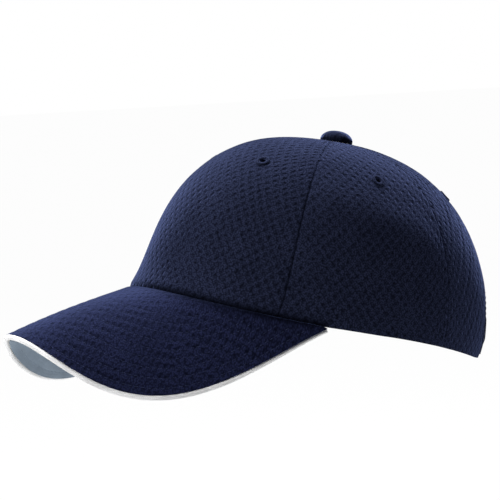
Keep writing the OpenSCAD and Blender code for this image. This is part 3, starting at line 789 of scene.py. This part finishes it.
def visorSheet(name, depth, thick, finish, upward):
    def spread(u, v):
        return mix(-visor["end"], visor["end"], u), 1 - v if upward else v

    def place(u, v):
        alpha, r = spread(u, v)
        dent = visorGroove(alpha, r) * smooth((1 - abs(2 * r - 1)) / cover["plainEdge"])
        if not upward:
            return visorAt(alpha, r, depth - dent)
        out = crownOut(visor["corner"] * alpha / 90, 0)
        into = Vector((0, 0, cover["tuckUp"])) - cover["tuckIn"] * Vector((out.x, out.y, 0)).normalized()
        return visorAt(alpha, r, depth + dent) + smooth(1 - r / cover["tuckShare"]) * into

    def sewn(u, v):  # painted shade along the join to the crown and at the two tips
        alpha, r = spread(u, v)
        tip = cover["tipDark"] * bell(visor["end"] - abs(alpha), cover["tip"])
        return max(tip, bell(r * visorWidth(alpha), cover["darkWide"]))

    inner, outer = visorFace(0, 0), visorFace(0, 1)
    reach = math.hypot(outer.y - inner.y, outer.z - inner.z)

    def straight(vert):  # the cloth lies straight, laid over the curl of the visor
        x, y, z = vert.co
        k = (y - inner.y) / (outer.y - inner.y)
        return math.copysign(math.hypot(x, z - mix(inner.z, outer.z, max(k, 0))), x), -reach * k

    mesh = curvedGrid(place, cover["across"], cover["up"], sewn)
    crispEdges(mesh)
    layFlat(mesh, straight)
    clothPiece(name, mesh, finish, thick)


def visorRow(gap, depth, outward):
    reach = max(a for a in range(0, 89) if visorWidth(a) > gap + rows["ends"])

    def path(t):
        alpha = mix(-reach, reach, t)
        r = 1 - gap / visorWidth(alpha)
        return visorAt(alpha, r, depth), visorUp(alpha, r) * outward
    return path


visorSheet("visor_top_cover", 0, cover["topThick"], "visorCloth", True)
visorSheet("visor_under_cover", visorStack, cover["underThick"], "under", False)
topRows = [visorRow(gap, rows["deep"], 1) for gap in rowGaps]
underRows = [visorRow(gap, visorStack - rows["deep"], -1) for gap in rowGaps]
stitchPiece("visor_top_stitches", topRows, finish="visorThread", thick=rows["topThick"])
stitchPiece("visor_under_stitches", underRows, finish="paleThread", thick=rows["underThick"])


# Sheets that lie along the crown at a depth below the cloth's face
def crownSheet(name, place, depth, values, finish, body="cap"):
    mesh = curvedGrid(lambda u, v: crownAt(*place(u, v), depth), *values["grid"])
    clothPiece(name, mesh, finish, values["thick"], body, rounded=values["rounded"])


print("sweatband, tapes and binding")
band = dict(low=0.0032, high=0.033, thick=0.0014, end=137, rounded=0.0004, grid=(180, 10),
            rowEnd=136, lowRow=0.003, highRow=0.004, stitchThick=0.00026)


def bandSpot(t, h, end=band["end"]):
    phi = mix(-end, end, t)
    return phi, thetaAt(phi, h)


def bandRow(h):  # stitches on the inner face of the band
    return crownPath(lambda t: bandSpot(t, h, band["rowEnd"]), insideDepth + band["thick"], -1)


crownSheet("sweatband", lambda u, v: bandSpot(u, mix(band["low"], band["high"], v)), insideDepth, band,
           "band")
bandRows = [bandRow(band["low"] + band["lowRow"]), bandRow(band["high"] - band["highRow"])]
stitchPiece("sweatband_stitches", bandRows, thick=band["stitchThick"])

tape = dict(width=0.013, thick=0.0006, low=0.035, archGap=0.002, topGap=0.001, stitchAside=0.0044,
            stitchThick=0.00026, rounded=0, grid=(4, 40))


def seamTape(name, phi, low):  # lays a tape, and returns its two rows of stitches
    def place(u, v):
        theta = mix(thetaAt(phi, low), thetaNearTop(phi, tape["width"] + tape["topGap"]), v)
        return phi + degreesFor(phi, theta, tape["width"]) * (u - 0.5), theta

    crownSheet("seam_tape_" + name, place, insideDepth, tape, "tape")
    aside, depth = tape["stitchAside"] / tape["width"], insideDepth + tape["thick"]
    return [crownPath(lambda t: place(0.5 - aside, t), depth, -1),
            crownPath(lambda t: place(0.5 + aside, t), depth, -1)]


tapeRows = []
for name, phi in seamAngles.items():
    tapeRows += seamTape(name, phi, archTop + tape["archGap"] if name == "back" else tape["low"])
stitchPiece("tape_stitches", tapeRows, thick=tape["stitchThick"])

binding = dict(first=3, rowFirst=4, foldOver=0.06, foldSoft=0.12, foot=0.0002, inside=0.0021,
               outside=-0.00012, stitchIn=0.0015, thick=0.0004, across=90, up=24)


def bindingPlace(u, v):  # from the inside, over the edge, to the outside
    grow = arch["bindingWidth"] * (abs(2 * v - 1) * (1 + binding["foldOver"]) - binding["foldOver"])
    phi, h = archEdge(mix(binding["first"], 180 - binding["first"], u), grow)
    h = max(h, binding["foot"])
    depth = mix(binding["inside"], binding["outside"], smooth((v - 0.5) / binding["foldSoft"] + 0.5))
    return crownAt(phi, thetaAt(phi, h), depth) + rearSag(phi, h)


def bindingRow(t):
    along = mix(binding["rowFirst"], 180 - binding["rowFirst"], t)
    phi, h = archEdge(along, arch["bindingWidth"] - binding["stitchIn"])
    theta = thetaAt(phi, h)
    return crownAt(phi, theta, binding["outside"]) + rearSag(phi, h), crownOut(phi, theta)


mesh = curvedGrid(bindingPlace, binding["across"], binding["up"])
faceOutwards(mesh)
clothPiece("arch_binding", mesh, "tape", binding["thick"])
stitchPiece("binding_stitches", [bindingRow])

# Rear straps and their hook and loop pads
print("closure")
strap = dict(height=0.026, thick=0.0012, foot=0.0005, hookFoot=0.001, loopDepth=0.0026, hookDepth=-0.0016,
             reach=0.026, root=0.014, roundFrom=0.8, roundCut=0.75, edge=0.0022, rowFrom=0.02, rowTurn=0.45,
             rounded=0.0003, grid=(44, 12))
grip = dict(thick=0.001, margin=0.004, gap=0.000333, rounded=0.0003, grid=(24, 12))
midStrap = strap["height"] / 2
strapDegree = 1 / degreesFor(180, thetaAt(180, midStrap), 1.0)  # metres in a degree at the back
tipPhi = strap["reach"] / strapDegree
gripPhi = tipPhi - grip["margin"] / strapDegree
archPhi = 180 - archWide()
rootPhi = archWide() + degreesFor(archPhi, thetaAt(archPhi, midStrap), strap["root"])


def strapHalf(k):
    tip = max(k - strap["roundFrom"], 0) / (1 - strap["roundFrom"])
    return midStrap * math.sqrt(1 - strap["roundCut"] * tip ** 2)


def strapPlace(k, v, foot, shrink=0.0):  # k runs from the root to the free end
    half = strapHalf(k) - foot - shrink
    phi = 180 - rootPhi + (rootPhi + tipPhi) * k
    return phi, thetaAt(phi, strap["foot"] + foot + midStrap + half * (2 * v - 1))


def hookPlace(u, v):  # the hook strap is sewn on the other side
    phi, theta = strapPlace(1 - u, v, strap["hookFoot"])
    return 360 - phi, theta


def strapOutline(foot, turnOver):  # stitches all round, a little inside the edge
    first, last = strap["rowFrom"], 1 - strap["edge"] / strapDegree / (rootPhi + tipPhi)
    turn = strap["rowTurn"]

    def angles(t):
        if t < turn:
            k, v = mix(first, last, t / turn), 0
        elif t < 1 - turn:
            k, v = last, (t - turn) / (1 - 2 * turn)
        else:
            k, v = mix(last, first, (t - 1 + turn) / turn), 1
        phi, theta = strapPlace(k, v, foot, strap["edge"])
        return 360 - phi if turnOver else phi, theta
    return angles


def gripPlace(u, v):
    phi = 180 + gripPhi * (2 * u - 1)
    low = strap["foot"] + strap["hookFoot"]
    return phi, thetaAt(phi, low + mix(grip["margin"], strap["height"] - grip["margin"], v))


loopSide = strap["loopDepth"] - grip["gap"] - grip["thick"]
hookSide = strap["hookDepth"] + strap["thick"] + grip["gap"]
crownSheet("loop_strap", lambda u, v: strapPlace(u, v, 0), strap["loopDepth"], strap, "webbing")
crownSheet("hook_strap", hookPlace, strap["hookDepth"], strap, "webbing",
           "closure")
crownSheet("loop_pad", gripPlace, loopSide, grip, "loop")
crownSheet("hook_pad", gripPlace, hookSide, grip, "hook", "closure")
loopRow = crownPath(strapOutline(0, False), strap["loopDepth"] + strap["thick"], -1)
hookRow = crownPath(strapOutline(strap["hookFoot"], True), strap["hookDepth"])
stitchPiece("loop_strap_stitches", [loopRow])
stitchPiece("hook_strap_stitches", [hookRow], "closure")

# Patches that hold the shell
patch = dict(width=0.034, height=0.018, thick=0.001, low=0.041, hookDepth=0.003, rounded=0.0003,
             grid=(20, 10))


def patchPair(where, phi):
    middle = patch["low"] + patch["height"] / 2
    half = degreesFor(phi, thetaAt(phi, middle), patch["width"]) / 2

    def place(u, v):
        at = phi + half * (2 * u - 1)
        return at, thetaAt(at, middle + patch["height"] * (v - 0.5))

    crownSheet("loop_patch_" + where, place, insideDepth, patch, "loop")
    crownSheet("hook_patch_" + where, place, patch["hookDepth"], patch, "hook",
               "insert")


for where, phi in (("front", 0), ("left", 90), ("right", -90)):
    patchPair(where, phi)

# Hard shell with vent slots
print("hard shell and pads")
shell = dict(depth=0.0044, thick=0.0022, low=0.037, backLift=0.024, hole=0.009, columns=144, rows=34,
             rounded=0.0005, ventWide=0.006, ventLong=0.022, ventLow=0.064, ventHigh=0.084,
             lowVents=(-75, -45, -15, 15, 45, 75, 105, 255), highVents=range(0, 360, 60))


def shellPlace(u, v):
    phi = 360 * u
    low = shell["low"] + (0 if cosd(phi) > 0 else shell["backLift"] * cosd(phi) ** 2)
    theta = mix(thetaAt(phi, low), thetaNearTop(phi, shell["hole"]), v)
    return crownAt(phi, theta, shell["depth"])


def cutVent(mesh, phi, h):
    theta = thetaAt(phi, h)
    middle, out = crownAt(phi, theta, shell["depth"]), crownOut(phi, theta)
    up = (crownFace(phi, theta + 0.5) - crownFace(phi, theta - 0.5)).normalized()
    side = out.cross(up)
    straight, half = (shell["ventLong"] - shell["ventWide"]) / 2, shell["ventWide"] / 2

    def slotSpot(spot):  # up and across the slot, and how far from its middle line
        a, b = (spot - middle).dot(up), (spot - middle).dot(side)
        core = min(max(a, -straight), straight)
        return a, b, core, math.hypot(a - core, b)

    inside = []
    for face in mesh.faces:
        spot = face.calc_center_median()
        if (spot - middle).length < shell["ventLong"] and slotSpot(spot)[3] < half:
            inside.append(face)
    bmesh.ops.delete(mesh, geom=inside, context="FACES")
    for vert in mesh.verts:  # the cut edge is drawn in to a round-ended slot
        if vert.is_boundary and (vert.co - middle).length < shell["ventLong"]:
            a, b, core, away = slotSpot(vert.co)
            if away < shell["ventWide"]:
                k = half / max(away, 1e-6)
                vert.co += up * ((core + (a - core) * k) - a) + side * (b * k - b)


mesh = curvedGrid(shellPlace, shell["columns"], shell["rows"])
mergeDoubles(mesh)
for phi in shell["lowVents"]:
    cutVent(mesh, phi, shell["ventLow"])
for phi in shell["highVents"]:
    cutVent(mesh, phi, shell["ventHigh"])
thicken(addPiece("hard_shell", mesh, "shell", "insert"), shell["thick"], shell["rounded"])

# Foam pads, crowned towards the head
pad = dict(depth=0.007, thick=0.005, low=0.041, high=0.052, edge=0.45, cuts=19, endShape=8, sideShape=4,
           ringOuter=0.04, ringGap=0.004, ringAcross=120, ringUp=32,
           arcs=dict(front_pad=(-34, 34), side_pad_left=(55, 105), side_pad_right=(-105, -55),
                     rear_pad=(150, 210)))


def foamPad(name, low, high, lift):  # from one angle to another, at a height
    mesh = bmesh.new()
    bmesh.ops.create_cube(mesh, size=2)
    bmesh.ops.subdivide_edges(mesh, edges=mesh.edges, cuts=pad["cuts"], use_grid_fill=True)
    for vert in mesh.verts:
        x, y, z = vert.co
        full = ((1 - abs(x) ** pad["endShape"]) * (1 - abs(y) ** pad["sideShape"])) ** 0.5
        phi = mix(low, high, (x + 1) / 2)
        theta = thetaAt(phi, lift + mix(pad["low"], pad["high"], (y + 1) / 2))
        vert.co = crownAt(phi, theta, pad["depth"] + pad["thick"] * (z + 1) / 2 * mix(pad["edge"], 1, full))
    faceOutwards(mesh)
    smoothFaces(mesh)
    piece = addPiece(name, mesh, "foam", "insert")
    rounding = piece.modifiers.new("round", "SUBSURF")
    rounding.levels = rounding.render_levels = 1


for name, (low, high) in pad["arcs"].items():
    foamPad(name, low, high, shell["backLift"] if name == "rear_pad" else 0)


def crownPadPlace(u, v):  # v runs across the foam ring and back over its crowned side
    phi = 360 * u
    k = 2 * v if v < 0.5 else 2 - 2 * v
    full = (1 - abs(2 * k - 1) ** pad["sideShape"]) ** 0.5
    theta = thetaNearTop(phi, mix(pad["ringOuter"], shell["hole"] + pad["ringGap"], k))
    return crownAt(phi, theta, pad["depth"] + (pad["thick"] * mix(pad["edge"], 1, full) if v >= 0.5 else 0))


mesh = curvedGrid(crownPadPlace, pad["ringAcross"], pad["ringUp"])
mergeDoubles(mesh)
bmesh.ops.bridge_loops(mesh, edges=[e for e in mesh.edges if e.is_boundary])
faceOutwards(mesh)
smoothFaces(mesh)
piece = addPiece("crown_pad", mesh, "foam", "insert")

# Nodes shown as the CAD made them
print("metal and board")
for name, finish in (("visor_board", "board"), ("button_rivet", "steel"), ("button_washer", "steel")):
    data = frame["nodes"][name].data
    data.materials.clear()
    data.materials.append(finishes[finish])

# Floor, light and background
print("stage")
stage = dict(floor=-0.175, floorSize=12, floorWhite=0.98, floorGrey=0.62, ambient=0.03,
             lightAim=(0, 0, 0.06), lightAway=1.3)
lights = dict(top=dict(power=43.0, size=0.6, azimuth=236, elevation=60),
              left=dict(power=15.0, size=0.8, azimuth=-4, elevation=38),
              rear=dict(power=1.4, size=0.8, azimuth=118, elevation=28),
              fill=dict(power=0.8, size=1.0, azimuth=75, elevation=5))
plainWhite = (1, 1, 1, 1)


def seenRays(tree):  # 1 for what the camera sees, straight or in gloss and glass
    rays = addNode(tree, "LightPath").outputs
    seen = sums(tree, "MAXIMUM", rays["Is Camera Ray"], rays["Is Glossy Ray"])
    return sums(tree, "MAXIMUM", seen, rays["Is Transmission Ray"])


mesh = bmesh.new()
bmesh.ops.create_grid(mesh, x_segments=1, y_segments=1, size=stage["floorSize"])
bmesh.ops.translate(mesh, verts=mesh.verts, vec=(0, 0, stage["floor"]))
floor = meshObject("floor", mesh)
floorFinish, tree, _ = startMaterial("floor")
tree.nodes.clear()
pale = addNode(tree, "BsdfDiffuse", {"Color": shade(plainWhite, stage["floorGrey"])})
glow = addNode(tree, "Emission", {"Color": plainWhite, "Strength": 1.0})
glowing = sums(tree, "MULTIPLY", seenRays(tree), stage["floorWhite"])
mixed = addNode(tree, "MixShader", {0: glowing, 1: pale.outputs[0], 2: glow.outputs[0]})
addNode(tree, "OutputMaterial", {0: mixed.outputs[0]})
floor.data.materials.append(floorFinish)

scene.world = world = bpy.data.worlds.new("world")
world.use_nodes = True
tree = world.node_tree
tree.nodes.clear()
bright = sums(tree, "MULTIPLY", seenRays(tree), 1 - stage["ambient"])
strength = sums(tree, "ADD", bright, stage["ambient"])
sky = addNode(tree, "Background", {"Color": plainWhite, "Strength": strength})
addNode(tree, "OutputWorld", {0: sky.outputs[0]})

for name, light in lights.items():
    data = bpy.data.lights.new(name + " light", "AREA")
    data.energy, data.size = light["power"], light["size"]
    lamp = addObject(name + " light", data)
    lamp.matrix_world = lookFrom(stage["lightAim"], light["azimuth"], light["elevation"], stage["lightAway"])
